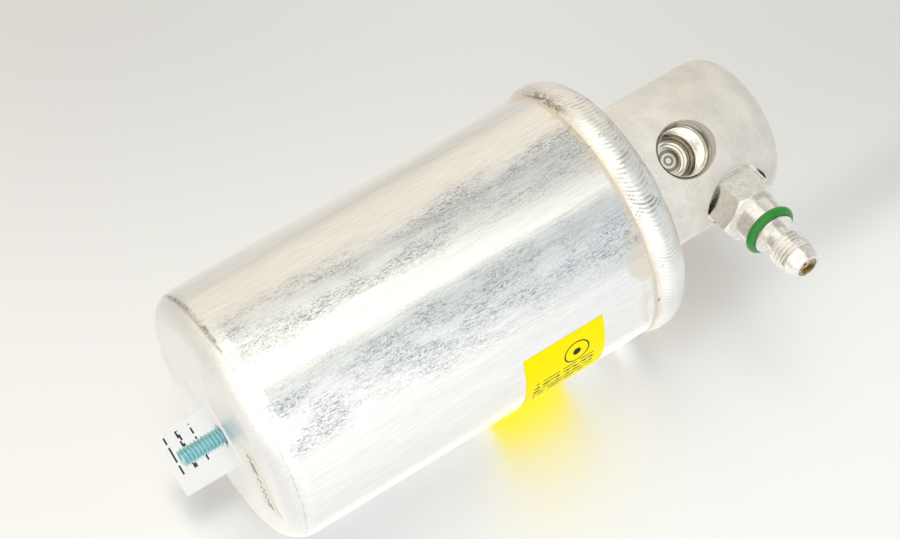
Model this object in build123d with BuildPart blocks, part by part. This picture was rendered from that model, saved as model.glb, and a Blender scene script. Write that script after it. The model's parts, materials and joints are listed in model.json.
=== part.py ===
from build123d import *
import os
from math import cos, radians, sin, sqrt, tan

os.makedirs("parts", exist_ok=True)

# All sizes in millimetres. The origin is on the mounting stud's axis, at the outer face of the
# can's floor, with the head upwards. The can's own axis stands beside it.

# Fits and thicknesses shared by several pieces
slip_gap = 0.3              # loose pieces beside the can wall and the pickup tube
weld_gap = 0.05             # flange edge inside the can mouth, before welding
thread_gap = 0.05           # simplified male thread inside its tapped hole
ring_gap = 0.05             # side room of a rubber ring in its groove
label_thickness = 0.15
paper_thickness = 0.2

# Drawn can
can_radius = 44.45
can_wall = 2.5
can_floor = 3.0
can_corner = 9.5
can_height = 145.0
stud_boss_radius = 11.0
stud_boss_rise = 7.0

# Mounting stud, 1/4 inch, a little off the centre of the can
stud_radius = 3.175
stud_offset = 3.3
stud_reach = 15.0
stud_grip = 8.0
stud_chamfer = 0.6
stud_neck_radius = 2.6
stud_neck_length = 1.5
stud_neck_proud = 0.1

# Head: a flange welded into the can mouth and a turned block above it
flange_sink = 7.0
flange_thickness = 12.0
head_radius = 26.2
head_height = 56.8
head_edge_round = 8.0
head_root_fillet = 2.0

# Weld bead between the can and the flange
bead_radius = 9.26
bead_proud = 1.58
bead_drop = 1.1
bead_sweep = 80.0

# The two tapped ports, alike: tapered seat, straight thread, drilled floor
port_thread_radius = 8.8
port_thread_major = 9.525
port_seat_radius = 10.7
port_seat_depth = 2.6
side_port_rise = 23.5       # centre of the side port above the flange
side_port_depth = 15.0
side_pilot_radius = 5.5
side_pilot_depth = 2.7
end_port_offset = 12.0
end_port_azimuth = -68.0
end_port_depth = 14.0

# Drilled passages of the head
riser_radius = 6.0
riser_overlap = 1.2
inlet_radius = 3.5
inlet_offset = 15.0
socket_depth = 14.0
socket_gap = 0.1
groove_rise = 8.0
groove_depth = 1.7
groove_width = 2.4
tube_ring_section = 0.88

# Service valve. Its stations run outwards from the axis of the can.
valve_azimuth = -32.0
valve_rise = 35.5           # valve axis above the flange
valve_seat = 23.5
spotface_radius = 12.25
hex_flats = 20.64
hex_length = 11.5
collar_radius = 8.5
collar_length = 6.6
cap_ring_section = 1.48
cap_ring_mean = 7.97
lip_radius = 7.5
lip_length = 0.8
neck_radius = 4.7
neck_length = 5.1
cap_thread_radius = 6.8
cap_thread_root = 5.8
cap_thread_start = 1.0
cap_thread_length = 6.6
tip_shoulder_radius = 6.2
tip_waist_radius = 5.9
tip_waist_length = 1.7
tip_radius = 4.6
tip_length = 4.2
shank_radius = 5.5
shank_length = 12.0
shank_relief_radius = 4.75
shank_relief_length = 2.5
shank_hole_extra = 0.5
seat_ring_section = 0.88
seat_ring_mean = 5.65
seat_pocket_radius = 6.6
seat_pocket_depth = 2.0
valve_passage_radius = 2.0
cross_passage_radius = 2.5

# Bore of the valve, measured inwards from its tip
mouth_radius = 3.7
mouth_depth = 3.0
core_thread_radius = 2.75
core_thread_length = 3.8
core_cone_length = 1.0
core_bore_radius = 2.3
core_bore_length = 7.5

# Spring-loaded valve core
core_head_gap = 0.1
core_head_sink = 1.8        # top of the core below the tip of the valve
core_head_length = 4.5
core_nose_radius = 1.95
core_nose_length = 5.5
core_nose_wall = 1.5
core_cavity_radius = 1.65
core_bar_width = 2.0
core_bar_height = 1.3
core_pin_radius = 0.6
core_pin_gap = 0.06
core_pin_proud = 1.1
core_disc_radius = 1.7
core_disc_length = 1.0
core_seal_radius = 1.8
core_seal_length = 0.8
core_seal_gap = 0.1
core_collar_radius = 1.4
core_collar_length = 0.6
core_collar_gap = 0.6
core_wire_radius = 0.17
core_coil_radius = 1.15
core_coil_turns = 5
gasket_gap = 0.03

# Pickup tube with its strainer
tube_radius = 6.35
tube_wall = 1.0
tube_foot_z = 14.0
tube_collar_radius = 9.0
tube_collar_thickness = 1.5
strainer_height = 17.0
strainer_wall = 0.8
strainer_slot_width = 2.0
strainer_slot_height = 10.0
strainer_slots = 12

# Drying pack: two perforated plates, two felt pads, one bed of beads
plate_thickness = 1.2
plate_hole_radius = 3.5
inner_hole_circle = 17.0
inner_hole_count = 8
outer_hole_circle = 30.0
outer_hole_count = 16
pad_thickness = 6.0
bed_depth = 73.8
pack_wire_radius = 1.25
pack_coil_radius = 24.0
pack_coil_turns = 3

# Labels and tag
side_label_foot_z = 87.0
side_label_height = 30.5
side_label_azimuth = -44.5
side_label_span = 75.0
bottom_label_length = 24.0
bottom_label_width = 12.0
bottom_label_turn = 32.3
bottom_label_x = 21.7
bottom_label_y = -16.3
tag_width = 22.0
tag_height = 15.0
tag_fold_y = 30.0
tag_foot_length = 37.0
tag_hole_gap = 0.9

# Heights and radii that follow from the sizes above
can_x = -stud_offset
can_bore = can_radius - can_wall
inner_corner = can_corner - can_wall
stud_boss_z = can_floor + stud_boss_rise
flange_bottom = can_height - flange_sink
flange_top = flange_bottom + flange_thickness
flange_radius = can_bore - weld_gap
head_top = flange_top + head_height
side_port_z = flange_top + side_port_rise
end_port_floor = head_top - end_port_depth
loose_radius = can_bore - slip_gap
tube_room_radius = tube_radius + slip_gap
socket_radius = tube_radius + socket_gap
socket_top = flange_bottom + socket_depth
groove_z = flange_bottom + groove_rise
strainer_top = stud_boss_z + strainer_height
lower_plate_z = strainer_top + tube_collar_thickness + slip_gap
lower_pad_z = lower_plate_z + plate_thickness
bed_z = lower_pad_z + pad_thickness
upper_pad_z = bed_z + bed_depth
upper_plate_z = upper_pad_z + pad_thickness
pack_top = upper_plate_z + plate_thickness

# Stations along the valve axis
hex_end = valve_seat + hex_length
collar_end = hex_end + collar_length
cap_groove_end = collar_end + 2 * (cap_ring_section + ring_gap / 2)
lip_end = cap_groove_end + lip_length
neck_end = lip_end + neck_length
thread_start = neck_end + cap_thread_start
thread_end = thread_start + cap_thread_length
tip_end = thread_end + tip_length
mouth_floor = tip_end - mouth_depth
core_thread_end = mouth_floor - core_thread_length
core_cone_end = core_thread_end - core_cone_length
core_bore_end = core_cone_end - core_bore_length
shank_end = valve_seat - shank_length
core_top = tip_end - core_head_sink
core_shoulder = core_top - core_head_length
core_nose_end = core_shoulder - core_nose_length
core_cavity_floor = core_nose_end + core_nose_wall
core_bar_base = core_top - core_bar_height
core_collar_top = core_bar_base - core_collar_gap
core_collar_base = core_collar_top - core_collar_length
core_seal_top = core_nose_end - core_seal_gap
core_disc_top = core_seal_top - core_seal_length
core_disc_base = core_disc_top - core_disc_length

# Reference planes. On a section plane X is the radius and Y runs along the turned piece's axis.
can_axis = Axis((can_x, 0, 0), (0, 0, 1))
can_section = Plane(origin=(can_x, 0, 0), x_dir=(1, 0, 0), z_dir=(0, -1, 0))
valve_way = Vector(cos(radians(valve_azimuth)), sin(radians(valve_azimuth)), 0)
valve_centre = Vector(can_x, 0, flange_top + valve_rise)
valve_axis = Axis(valve_centre, valve_way)
valve_section = Plane(origin=valve_centre, x_dir=(0, 0, 1), z_dir=Vector(0, 0, 1).cross(valve_way))
side_port_mouth = Vector(can_x, -head_radius, side_port_z)
side_port_section = Plane(origin=side_port_mouth, x_dir=(0, 0, 1), z_dir=(-1, 0, 0))
end_port_mouth = Vector(
    can_x + end_port_offset * cos(radians(end_port_azimuth)),
    end_port_offset * sin(radians(end_port_azimuth)),
    head_top,
)
end_port_section = Plane(origin=end_port_mouth, x_dir=(1, 0, 0), z_dir=(0, 1, 0))


def level(height):
    """The level plane centred on the can's axis at a height."""
    return Plane(origin=(can_x, 0, height))


def outline(plane, *points):
    """A closed face with straight sides on the given plane."""
    with BuildSketch(plane, mode=Mode.PRIVATE) as face:
        with BuildLine():
            Polyline(*points, close=True)
        make_face()
    return face.sketch


def tube_outline(plane, inner, outer, start, end):
    """The section of a plain ring or, with no inner radius, of a plain disc."""
    return outline(plane, (inner, start), (outer, start), (outer, end), (inner, end))


def port_outline(plane, thread_depth, pilot_radius=0, pilot_depth=0):
    """The section of a tapped port: tapered ring seat, thread and, where it has one, a plain pilot."""
    seat_slope = (port_seat_radius - port_thread_major) / port_seat_depth
    run_out = port_thread_major - port_thread_radius
    outside = -port_seat_depth
    points = [
        (0, outside),
        (port_seat_radius - seat_slope * outside, outside),
        (port_thread_major, port_seat_depth),
        (port_thread_radius, port_seat_depth + run_out),
        (port_thread_radius, thread_depth),
    ]
    if pilot_depth:
        points += [(pilot_radius, thread_depth), (pilot_radius, thread_depth + pilot_depth)]
    points += [(0, thread_depth + pilot_depth)]
    return outline(plane, *points)


def finish(builder, label):
    """Name a finished piece and write it out."""
    builder.part.label = label
    export_step(builder.part, f"parts/{label}.step")


def ring_piece(label, plane, axis, mean_radius, section_radius, station):
    """A rubber ring of round section."""
    with BuildPart() as ring:
        with BuildSketch(plane):
            with Locations((mean_radius, station)):
                Circle(section_radius)
        revolve(axis=axis)
    finish(ring, label)


# The can: drawn in one piece, with a thickened boss inside the floor for the stud
with BuildPart() as can:
    with BuildSketch(can_section):
        with BuildLine():
            Polyline((0, can_floor), (0, 0), (can_radius - can_corner, 0))
            RadiusArc((can_radius - can_corner, 0), (can_radius, can_corner), -can_corner)
            Polyline((can_radius, can_corner), (can_radius, can_height), (can_bore, can_height),
                     (can_bore, can_floor + inner_corner))
            RadiusArc((can_bore, can_floor + inner_corner), (can_bore - inner_corner, can_floor),
                      inner_corner)
            Line((can_bore - inner_corner, can_floor), (0, can_floor))
        make_face()
    revolve(axis=can_axis)
    with BuildSketch(level(can_floor)):
        with Locations((stud_offset, 0)):
            Circle(stud_boss_radius)
    extrude(amount=stud_boss_rise)
    with BuildSketch(level(0)):
        with Locations((stud_offset, 0)):
            Circle(stud_radius + thread_gap)
    extrude(amount=stud_grip, mode=Mode.SUBTRACT)
finish(can, "can")

# The mounting stud, tapped into the boss until it bottoms
with BuildPart() as mounting_stud:
    with BuildSketch(level(-stud_reach)):
        with Locations((stud_offset, 0)):
            Circle(stud_radius)
    extrude(amount=stud_reach + stud_grip)
    chamfer(mounting_stud.edges().filter_by(GeomType.CIRCLE), stud_chamfer)
    with BuildSketch(level(-stud_neck_proud)):
        with Locations((stud_offset, 0)):
            Circle(stud_radius)
            Circle(stud_neck_radius, mode=Mode.SUBTRACT)
    extrude(amount=stud_neck_length, mode=Mode.SUBTRACT)
finish(mounting_stud, "mounting_stud")

# The head: turned flange and block, then both ports, the valve seat and the passages
with BuildPart() as head:
    with BuildSketch(can_section):
        with BuildLine():
            Polyline((0, flange_bottom), (flange_radius, flange_bottom), (flange_radius, flange_top),
                     (head_radius, flange_top), (head_radius, head_top), (0, head_top), close=True)
        make_face()
    revolve(axis=can_axis)
    block_edges = head.edges().filter_by(GeomType.CIRCLE).filter_by(lambda e: e.radius < flange_radius - weld_gap)
    fillet(block_edges.sort_by(Axis.Z)[-1], head_edge_round)
    fillet(block_edges.sort_by(Axis.Z)[0], head_root_fillet)
    revolve(port_outline(side_port_section, side_port_depth, side_pilot_radius, side_pilot_depth),
            axis=Axis(side_port_mouth, (0, 1, 0)), mode=Mode.SUBTRACT)
    revolve(port_outline(end_port_section, end_port_depth),
            axis=Axis(end_port_mouth, (0, 0, 1)), mode=Mode.SUBTRACT)
    revolve(
        outline(
            can_section,
            (0, flange_bottom), (socket_radius, flange_bottom),
            (socket_radius, groove_z - groove_width / 2),
            (socket_radius + groove_depth, groove_z - groove_width / 2),
            (socket_radius + groove_depth, groove_z + groove_width / 2),
            (socket_radius, groove_z + groove_width / 2),
            (socket_radius, socket_top), (riser_radius, socket_top),
            (riser_radius, end_port_floor + riser_overlap), (0, end_port_floor + riser_overlap),
        ),
        axis=can_axis, mode=Mode.SUBTRACT,
    )
    with BuildSketch(level(flange_bottom)):
        with Locations((0, -inlet_offset)):
            Circle(inlet_radius)
    extrude(amount=side_port_z - port_thread_radius + inlet_radius - flange_bottom, mode=Mode.SUBTRACT)
    revolve(
        outline(
            valve_section,
            (0, head_radius + hex_length), (spotface_radius, head_radius + hex_length),
            (spotface_radius, valve_seat), (seat_pocket_radius, valve_seat),
            (seat_pocket_radius, valve_seat - seat_pocket_depth),
            (shank_radius + thread_gap, valve_seat - seat_pocket_depth),
            (shank_radius + thread_gap, shank_end - shank_hole_extra),
            (cross_passage_radius, shank_end - shank_hole_extra), (cross_passage_radius, 0), (0, 0),
        ),
        axis=valve_axis, mode=Mode.SUBTRACT,
    )
finish(head, "head")

# The weld bead: a convex fillet over the can rim and the edge of the flange
bead_centre_radius = can_radius + bead_proud - bead_radius
bead_centre_z = can_height - bead_drop
bead_toe_z = bead_centre_z - sqrt(bead_radius**2 - (can_radius - bead_centre_radius) ** 2)
bead_inner_radius = bead_centre_radius + bead_radius * cos(radians(bead_sweep))
bead_crest_z = bead_centre_z + bead_radius * sin(radians(bead_sweep))
with BuildPart() as weld_bead:
    with BuildSketch(can_section):
        with BuildLine():
            ThreePointArc((can_radius, bead_toe_z), (bead_centre_radius + bead_radius, bead_centre_z),
                          (bead_inner_radius, bead_crest_z))
            Polyline((bead_inner_radius, bead_crest_z), (bead_inner_radius, flange_top),
                     (flange_radius, flange_top), (flange_radius, can_height),
                     (can_radius, can_height), (can_radius, bead_toe_z))
        make_face()
    revolve(axis=can_axis)
finish(weld_bead, "weld_bead")

# The service valve body: shank, hexagon, collar, ring groove, neck, cap thread and tip
with BuildPart() as valve_body:
    with BuildSketch(Plane(origin=valve_centre + valve_way * valve_seat, x_dir=(0, 0, 1), z_dir=valve_way)):
        RegularPolygon(radius=hex_flats / 2, side_count=6, major_radius=False)
    extrude(amount=hex_length)
    hex_corner = hex_flats / 2 / cos(radians(30))
    crown_drop = (hex_corner - hex_flats / 2) * tan(radians(30))
    revolve(
        outline(
            valve_section,
            (0, valve_seat), (hex_corner, valve_seat), (hex_corner, hex_end - crown_drop),
            (hex_flats / 2, hex_end), (0, hex_end),
        ),
        axis=valve_axis, mode=Mode.INTERSECT,
    )
    revolve(
        outline(
            valve_section,
            (0, shank_end), (shank_radius - stud_chamfer, shank_end),
            (shank_radius, shank_end + stud_chamfer),
            (shank_radius, valve_seat - shank_relief_length - stud_chamfer),
            (shank_relief_radius, valve_seat - shank_relief_length),
            (shank_relief_radius, valve_seat), (collar_radius, valve_seat), (collar_radius, collar_end),
            (cap_ring_mean - cap_ring_section, collar_end),
            (cap_ring_mean - cap_ring_section, cap_groove_end),
            (lip_radius, cap_groove_end), (lip_radius, lip_end), (neck_radius, lip_end),
            (neck_radius, neck_end), (cap_thread_root, neck_end), (cap_thread_radius, thread_start),
            (cap_thread_radius, thread_end), (tip_shoulder_radius, thread_end),
            (tip_waist_radius, thread_end + tip_waist_length), (tip_radius, tip_end), (0, tip_end),
        ),
        axis=valve_axis,
    )
    revolve(
        outline(
            valve_section,
            (0, tip_end), (mouth_radius, tip_end), (mouth_radius, mouth_floor),
            (core_thread_radius, mouth_floor), (core_thread_radius, core_thread_end),
            (core_bore_radius, core_cone_end), (core_bore_radius, core_bore_end),
            (valve_passage_radius, core_bore_end), (valve_passage_radius, shank_end), (0, shank_end),
        ),
        axis=valve_axis, mode=Mode.SUBTRACT,
    )
finish(valve_body, "valve_body")

ring_piece("valve_oring", valve_section, valve_axis, cap_ring_mean, cap_ring_section,
           (collar_end + cap_groove_end) / 2)
ring_piece("valve_seat_oring", valve_section, valve_axis, seat_ring_mean, seat_ring_section,
           valve_seat - seat_pocket_depth / 2)

# The core body: a hollow nose and a threaded head, open above except for one cross-bar
core_head_radius = core_thread_radius - core_head_gap
core_pin_hole = core_pin_radius + core_pin_gap
with BuildPart() as valve_core_body:
    revolve(
        outline(
            valve_section,
            (core_pin_hole, core_nose_end), (core_nose_radius, core_nose_end),
            (core_nose_radius, core_shoulder), (core_head_radius, core_shoulder),
            (core_head_radius, core_bar_base), (core_cavity_radius, core_bar_base),
            (core_cavity_radius, core_cavity_floor), (core_pin_hole, core_cavity_floor),
        ),
        axis=valve_axis,
    )
    with BuildSketch(Plane(origin=valve_centre + valve_way * core_bar_base, x_dir=(0, 0, 1), z_dir=valve_way)):
        Circle(core_head_radius)
        Rectangle(2 * core_head_radius, core_bar_width, mode=Mode.INTERSECT)
        Circle(core_pin_hole, mode=Mode.SUBTRACT)
    extrude(amount=core_bar_height)
finish(valve_core_body, "valve_core_body")

# The core gasket, pinched between the shoulder of the core and the cone of the bore
with BuildPart() as valve_core_gasket:
    gasket_nose = core_bore_radius - 2 * gasket_gap
    gasket_outer = core_thread_radius - 2 * gasket_gap
    revolve(
        outline(
            valve_section,
            (core_nose_radius + gasket_gap, core_cone_end), (gasket_nose, core_cone_end),
            (gasket_outer, core_thread_end),
            (gasket_outer, core_shoulder), (core_nose_radius + gasket_gap, core_shoulder),
        ),
        axis=valve_axis,
    )
finish(valve_core_gasket, "valve_core_gasket")

# The core pin: a rod with a disc below the seat and a collar for the spring
with BuildPart() as valve_core_pin:
    revolve(
        outline(
            valve_section,
            (0, core_disc_base), (core_disc_radius, core_disc_base), (core_disc_radius, core_disc_top),
            (core_pin_radius, core_disc_top), (core_pin_radius, core_collar_base),
            (core_collar_radius, core_collar_base), (core_collar_radius, core_collar_top),
            (core_pin_radius, core_collar_top), (core_pin_radius, core_top + core_pin_proud),
            (0, core_top + core_pin_proud),
        ),
        axis=valve_axis,
    )
finish(valve_core_pin, "valve_core_pin")

with BuildPart() as valve_core_seal:
    revolve(tube_outline(valve_section, core_pin_radius, core_seal_radius, core_disc_top, core_seal_top),
            axis=valve_axis)
finish(valve_core_seal, "valve_core_seal")

# The core spring, between the floor of the core body and the collar of the pin
core_coil_start = core_cavity_floor + core_wire_radius
core_coil_height = core_collar_base - core_wire_radius - core_coil_start
with BuildPart() as valve_core_spring:
    with BuildLine() as core_coil:
        Helix(pitch=core_coil_height / core_coil_turns, height=core_coil_height, radius=core_coil_radius,
              center=valve_centre + valve_way * core_coil_start, direction=valve_way)
    with BuildSketch(Plane(origin=core_coil.line @ 0, z_dir=core_coil.line % 0)):
        Circle(core_wire_radius)
    sweep()
finish(valve_core_spring, "valve_core_spring")

# The pickup tube, with a rolled collar that stands on the strainer
with BuildPart() as pickup_tube:
    revolve(
        outline(
            can_section,
            (tube_radius - tube_wall, tube_foot_z), (tube_radius, tube_foot_z),
            (tube_radius, strainer_top), (tube_collar_radius, strainer_top),
            (tube_collar_radius, strainer_top + tube_collar_thickness),
            (tube_radius, strainer_top + tube_collar_thickness), (tube_radius, socket_top),
            (tube_radius - tube_wall, socket_top),
        ),
        axis=can_axis,
    )
finish(pickup_tube, "pickup_tube")

ring_piece("tube_oring", can_section, can_axis, tube_radius + tube_ring_section + ring_gap / 2,
           tube_ring_section, groove_z)

# The strainer cup below the tube, slotted all round
with BuildPart() as strainer:
    revolve(
        outline(
            can_section,
            (0, stud_boss_z), (tube_collar_radius, stud_boss_z), (tube_collar_radius, strainer_top),
            (tube_collar_radius - strainer_wall, strainer_top),
            (tube_collar_radius - strainer_wall, stud_boss_z + strainer_wall),
            (0, stud_boss_z + strainer_wall),
        ),
        axis=can_axis,
    )
    with BuildSketch(level(stud_boss_z + (strainer_height - strainer_slot_height) / 2)):
        with PolarLocations(tube_collar_radius, strainer_slots):
            Rectangle(4 * strainer_wall, strainer_slot_width)
    extrude(amount=strainer_slot_height, mode=Mode.SUBTRACT)
finish(strainer, "strainer")

# The lower plate: a perforated cup turned upside down, whose skirt stands in the can's corner
skirt_foot_z = can_floor + inner_corner + weld_gap - sqrt(
    inner_corner**2 - (loose_radius - can_bore + inner_corner) ** 2)
with BuildPart() as lower_plate:
    revolve(
        outline(
            can_section,
            (tube_room_radius, lower_plate_z), (loose_radius - plate_thickness, lower_plate_z),
            (loose_radius - plate_thickness, skirt_foot_z), (loose_radius, skirt_foot_z),
            (loose_radius, lower_pad_z), (tube_room_radius, lower_pad_z),
        ),
        axis=can_axis,
    )
    with BuildSketch(level(lower_plate_z)):
        with PolarLocations(inner_hole_circle, inner_hole_count):
            Circle(plate_hole_radius)
        with PolarLocations(outer_hole_circle, outer_hole_count):
            Circle(plate_hole_radius)
    extrude(amount=plate_thickness, mode=Mode.SUBTRACT)
finish(lower_plate, "lower_plate")

with BuildPart() as upper_plate:
    revolve(tube_outline(can_section, tube_room_radius, loose_radius, upper_plate_z, pack_top), axis=can_axis)
    with BuildSketch(level(upper_plate_z)):
        with PolarLocations(inner_hole_circle, inner_hole_count):
            Circle(plate_hole_radius)
        with PolarLocations(outer_hole_circle, outer_hole_count):
            Circle(plate_hole_radius)
    extrude(amount=plate_thickness, mode=Mode.SUBTRACT)
finish(upper_plate, "upper_plate")

# The felt pads and the bed of drying beads, stacked between the plates
for layer_name, layer_foot, layer_top in (
    ("lower_pad", lower_pad_z, bed_z),
    ("desiccant_bed", bed_z, upper_pad_z),
    ("upper_pad", upper_pad_z, upper_plate_z),
):
    with BuildPart() as layer:
        revolve(tube_outline(can_section, tube_room_radius, loose_radius, layer_foot, layer_top),
                axis=can_axis)
    finish(layer, layer_name)

# The pack spring, pressing the stack down from the underside of the flange
pack_coil_start = pack_top + pack_wire_radius
pack_coil_height = flange_bottom - pack_wire_radius - pack_coil_start
with BuildPart() as pack_spring:
    with BuildLine() as pack_coil:
        Helix(pitch=pack_coil_height / pack_coil_turns, height=pack_coil_height, radius=pack_coil_radius,
              center=(can_x, 0, pack_coil_start))
    with BuildSketch(Plane(origin=pack_coil.line @ 0, z_dir=pack_coil.line % 0)):
        Circle(pack_wire_radius)
    sweep()
finish(pack_spring, "pack_spring")

# The side label, wrapped round the can
label_start = Vector(cos(radians(side_label_azimuth)), sin(radians(side_label_azimuth)), 0)
label_section = Plane(origin=(can_x, 0, 0), x_dir=label_start, z_dir=label_start.cross(Vector(0, 0, 1)))
with BuildPart() as side_label:
    revolve(tube_outline(label_section, can_radius, can_radius + label_thickness, side_label_foot_z,
                         side_label_foot_z + side_label_height),
            axis=can_axis, revolution_arc=side_label_span)
finish(side_label, "side_label")

# The bottom label, pressed onto the floor of the can and over the start of its rounded corner
with BuildPart() as bottom_label:
    with BuildSketch(can_section):
        with BuildLine():
            corner_start = can_radius - can_corner
            Polyline((0, 0), (0, -label_thickness), (corner_start, -label_thickness))
            RadiusArc((corner_start, -label_thickness), (can_radius + label_thickness, can_corner),
                      -can_corner - label_thickness)
            Line((can_radius + label_thickness, can_corner), (can_radius, can_corner))
            RadiusArc((can_radius, can_corner), (corner_start, 0), can_corner)
            Line((corner_start, 0), (0, 0))
        make_face()
    revolve(axis=can_axis)
    with BuildSketch(level(-can_corner)):
        with Locations(Location((bottom_label_x, bottom_label_y), bottom_label_turn)):
            Rectangle(bottom_label_length, bottom_label_width)
    extrude(amount=2 * can_corner, mode=Mode.INTERSECT)
finish(bottom_label, "bottom_label")

# The paper tag: a sheet pierced by the stud, lying on the floor of the can and folded up behind
with BuildPart() as paper_tag:
    with BuildSketch(Plane.YZ.offset(-tag_width / 2)):
        with BuildLine():
            Polyline((tag_fold_y - tag_foot_length, 0), (tag_fold_y, 0), (tag_fold_y, -tag_height),
                     (tag_fold_y - paper_thickness, -tag_height),
                     (tag_fold_y - paper_thickness, -paper_thickness),
                     (tag_fold_y - tag_foot_length, -paper_thickness), close=True)
        make_face()
    extrude(amount=tag_width)
    with BuildSketch(level(-paper_thickness)):
        with Locations((stud_offset, 0)):
            Circle(stud_radius + tag_hole_gap)
    extrude(amount=paper_thickness, mode=Mode.SUBTRACT)
finish(paper_tag, "paper_tag")
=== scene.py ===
import json
from math import asin, cos, hypot, pi, radians, sin

import bpy
from bpy.props import FloatProperty, FloatVectorProperty, IntProperty, PointerProperty
from mathutils import Matrix, Vector, noise


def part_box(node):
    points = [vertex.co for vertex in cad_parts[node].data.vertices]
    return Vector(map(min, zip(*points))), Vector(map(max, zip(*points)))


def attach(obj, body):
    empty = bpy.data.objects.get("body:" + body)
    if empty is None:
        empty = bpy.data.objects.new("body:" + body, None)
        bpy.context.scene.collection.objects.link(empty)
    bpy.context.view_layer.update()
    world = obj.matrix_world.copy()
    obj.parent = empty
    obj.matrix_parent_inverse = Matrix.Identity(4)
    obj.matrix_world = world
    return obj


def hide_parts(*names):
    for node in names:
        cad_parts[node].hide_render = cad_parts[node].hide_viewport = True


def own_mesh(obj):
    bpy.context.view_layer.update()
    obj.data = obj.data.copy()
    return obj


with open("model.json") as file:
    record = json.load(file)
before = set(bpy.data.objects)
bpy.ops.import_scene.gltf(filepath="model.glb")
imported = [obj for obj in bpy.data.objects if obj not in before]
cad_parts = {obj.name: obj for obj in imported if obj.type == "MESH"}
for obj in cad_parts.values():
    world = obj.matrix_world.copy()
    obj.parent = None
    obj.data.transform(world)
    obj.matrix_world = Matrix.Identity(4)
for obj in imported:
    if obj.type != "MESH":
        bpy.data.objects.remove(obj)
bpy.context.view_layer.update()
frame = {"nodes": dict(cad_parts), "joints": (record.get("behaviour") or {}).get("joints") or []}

bl_info = {
    "name": "Filter drier",
    "version": (1, 0, 0),
    "blender": (4, 5, 0),
    "location": "View3D > Sidebar > Drier",
    "description": "Threads, weld bead, finishes and stage of a welded filter drier",
    "category": "Object",
}

MM = 0.001

# What the solids give: the can's axis and radius, the head's top, and the ends of stud, bead and valve
can_low, can_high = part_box("can")
CAN_X = (can_low.x + can_high.x) / 2
CAN_RADIUS = (can_high.x - can_low.x) / 2
CAN_RIM = can_high.z
HEAD_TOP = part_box("head")[1].z
STUD_LOW, STUD_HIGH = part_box("mounting_stud")
BEAD_LOW, BEAD_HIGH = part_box("weld_bead")
VALVE_OUT = -Vector(frame["joints"][0]["axis"])
VALVE_LOW, VALVE_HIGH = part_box("valve_body")
VALVE_Z = (VALVE_LOW.z + VALVE_HIGH.z) / 2
VALVE_FOOT = Vector((CAN_X, 0, VALVE_Z))

# Where the ports open: the height of the side port's axis, and the end port's mouth seen from the can's axis
SIDE_PORT_Z = 173.5 * MM
END_PORT = Vector((12 * cos(radians(-68)) * MM, 12 * sin(radians(-68)) * MM, HEAD_TOP))

# Sizes of the solids, in millimetres, and sides round the can's axis, in degrees
HEAD_RADIUS = 26.2
PORT_CUT_RADIUS = 10.9
PORT_FLOOR = 22.0
SPOTFACE_RADIUS = 12.3
PORT_WALL, PORT_CREST = 8.84, 8.0
PORT_THREAD_START = 2.8
SIDE_THREAD_END, END_THREAD_END = 14.9, 13.9
CAP_THREAD_START, CAP_THREAD_END = 50.4, 58.0
CAP_CREST, CAP_ROOT = 6.8, 5.85
STUD_THREAD_DEPTH = 0.78
CROWN_RADIUS = 9.26
CROWN_SWEEP = (-34, 80)
CROWN_FOOT = 3.2
RIPPLE_WIDTH, RIPPLE_RADIUS = 7.9, 9.1
WORN_SIDES = ((-115, 7), (-76, 10), (60, 30), (140, 12))
SCORCH_SIDE = -57
WELD_START = -145
BADGE_SIDE, BADGE_Z = -32.5, 106.5
LABEL_SIDES = (-44.5, 54.0)
PAPER = 0.15
FLOOR_LABEL_MIDDLE, FLOOR_LABEL_TURN = (21.7, -16.3, 0), 32.3

# Tones that only one finish uses
GALLED_HAZE = (0.40, 0.42, 0.45, 1)
GALLED_MARK = (0.20, 0.23, 0.27, 1)
GRIME = (0.20, 0.16, 0.12, 1)
# Ends of the painted light on the head: lighter at its foot by the bead, where shade falls, darker at its top
HEAD_FOOT_PAINTED_LIGHT, HEAD_TOP_PAINTED_LIGHT = (1.13, 1.13, 1.14, 1), (0.92, 0.91, 0.90, 1)
HEAD_SPECK = (0.22, 0.19, 0.15, 1)
SPOTFACE_TONE = (0.86, 0.84, 0.80, 1)
# Painted shade and painted light of the rings inside the ports
BORE_PAINTED_SHADE, BORE_PAINTED_LIGHT = (0.33, 0.28, 0.21, 1), (0.94, 0.91, 0.85, 1)
SOOT, START_SOOT = (0.16, 0.13, 0.10, 1), (0.14, 0.12, 0.09, 1)
VALVE_DIRT = (0.30, 0.26, 0.20, 1)

# Where the camera stands, and its own axes
CAMERA_PLACE = Vector((13.960 * MM + CAN_X, -666.437 * MM, -112.604 * MM))
CAMERA_RIGHT = Vector((0.51080343, -0.23809282, 0.82607001))
CAMERA_DOWN = Vector((0.85923992, 0.17273915, -0.48152668))
CAMERA_FORWARD = Vector((-0.02804658, 0.95575781, 0.29281461))


class DrierSizes(bpy.types.PropertyGroup):
    """Sizes of the threads and the weld ripples."""

    stud_pitch: FloatProperty(name="Stud pitch", description="Rise of the stud's thread in one turn",
                              default=1.27 * MM, unit="LENGTH")
    cap_pitch: FloatProperty(name="Cap thread pitch", description="Rise of the valve's cap thread in one turn",
                             default=1.5 * MM, unit="LENGTH")
    port_pitch: FloatProperty(name="Port pitch", description="Rise of the ports' thread in one turn",
                              default=1.5875 * MM, unit="LENGTH")
    thread_steps: IntProperty(name="Thread steps", description="Faces in one turn of a thread", default=48)
    ripple_count: IntProperty(name="Weld ripples", description="Ripples round the weld bead", default=186)
    ripple_depth: FloatProperty(name="Ripple depth", description="Depth of the grooves between ripples",
                                default=0.30 * MM, unit="LENGTH")


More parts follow.
